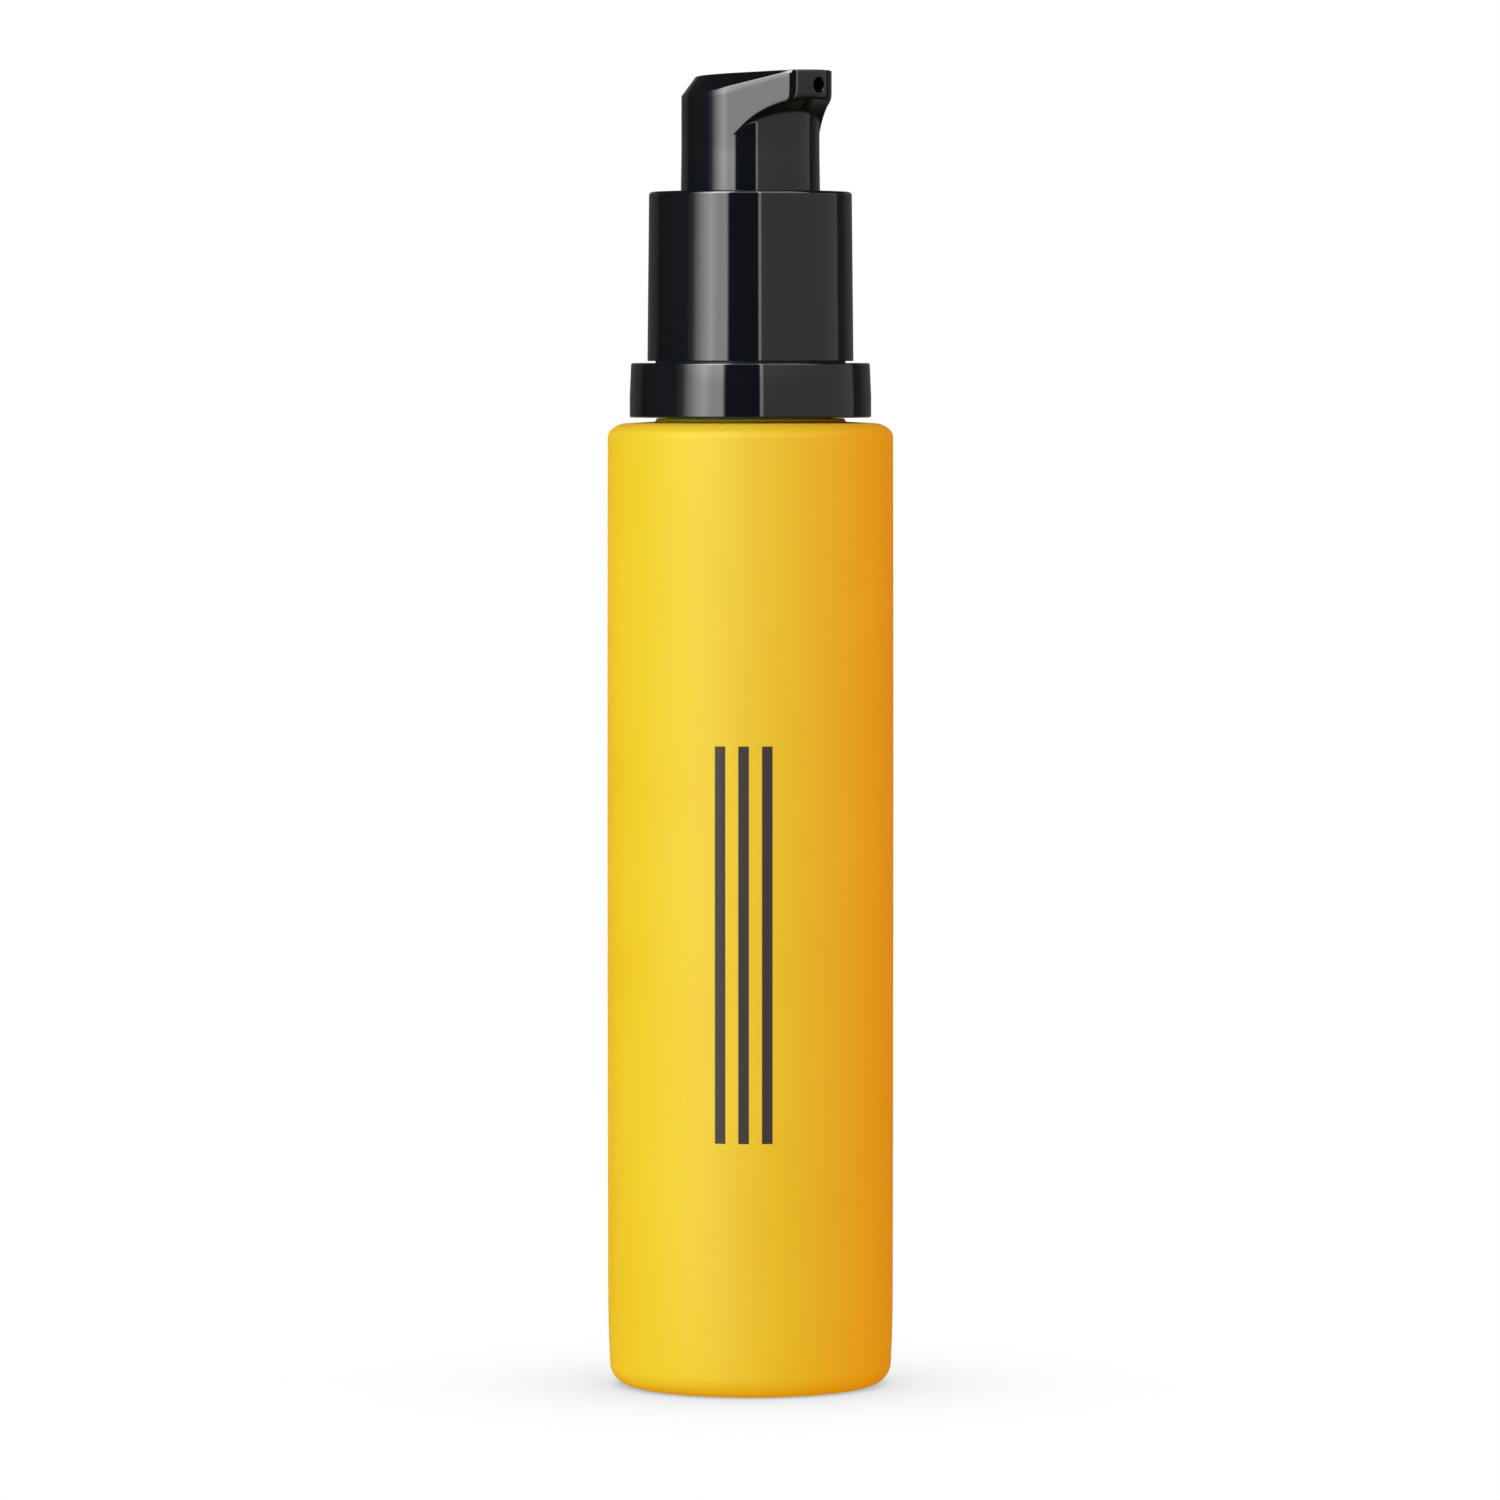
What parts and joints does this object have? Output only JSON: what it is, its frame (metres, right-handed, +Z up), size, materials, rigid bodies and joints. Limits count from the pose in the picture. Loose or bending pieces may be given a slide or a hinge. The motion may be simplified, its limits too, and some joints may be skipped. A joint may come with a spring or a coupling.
{
  "type": "foundation bottle",
  "caption": "Slender cylindrical airless pump bottle for liquid foundation: matt double-wall body, gloss ring and collar, and a beaked press actuator. Shown without its overcap.",
  "frame": {"origin": "centre of the base, on the surface that the bottle stands on", "axes": "+Z up along the bottle's axis; the actuator's beak points along -Y at rest"},
  "size_m": [0.03, 0.03, 0.1375],
  "materials": {
    "soft_touch_yellow": "soft-touch matt coat",
    "gloss_black": "polished",
    "moulded_black": "as moulded",
    "natural_polypropylene": "natural, slightly cloudy",
    "white_polyethylene": "waxy",
    "soft_gasket": "foamed polyethylene",
    "ball_glass": "polished",
    "spring_steel": "drawn wire"
  },
  "bodies": {
    "root": {"outer_shell": "soft_touch_yellow", "base_plug": "soft_touch_yellow", "inner_vessel": "natural_polypropylene", "cap_ring": "gloss_black", "closure": "moulded_black", "collar_sleeve": "gloss_black", "neck_gasket": "soft_gasket", "pump_housing": "natural_polypropylene", "stem_guide": "white_polyethylene", "return_spring": "spring_steel"},
    "follower": {"follower_piston": "white_polyethylene"},
    "inlet_valve": {"inlet_ball": "ball_glass"},
    "plunger": {"piston_rod": "natural_polypropylene"},
    "seal": {"pump_piston": "white_polyethylene"},
    "head": {"stem": "natural_polypropylene", "actuator": "gloss_black"}
  },
  "joints": [
    {"name": "press", "type": "slide", "parent": "root", "child": "plunger", "axis": [0, 0, -1], "range_m": [0, 0.0045], "stiffness_N_per_m": 1500, "springref_m": -0.003, "deforming": ["return_spring"]},
    {"name": "swivel", "type": "hinge", "parent": "plunger", "child": "head", "pos_m": [0, 0, 0.108], "axis": [0, 0, 1], "continuous": true},
    {"name": "valve_opening", "type": "slide", "parent": "plunger", "child": "seal", "axis": [0, 0, 1], "range_m": [0, 0.00075]},
    {"name": "follower_travel", "type": "slide", "parent": "root", "child": "follower", "axis": [0, 0, 1], "range_m": [0, 0.0775]},
    {"name": "inlet_lift", "type": "slide", "parent": "root", "child": "inlet_valve", "axis": [0, 0, 1], "range_m": [0, 0.0008]}
  ]
}
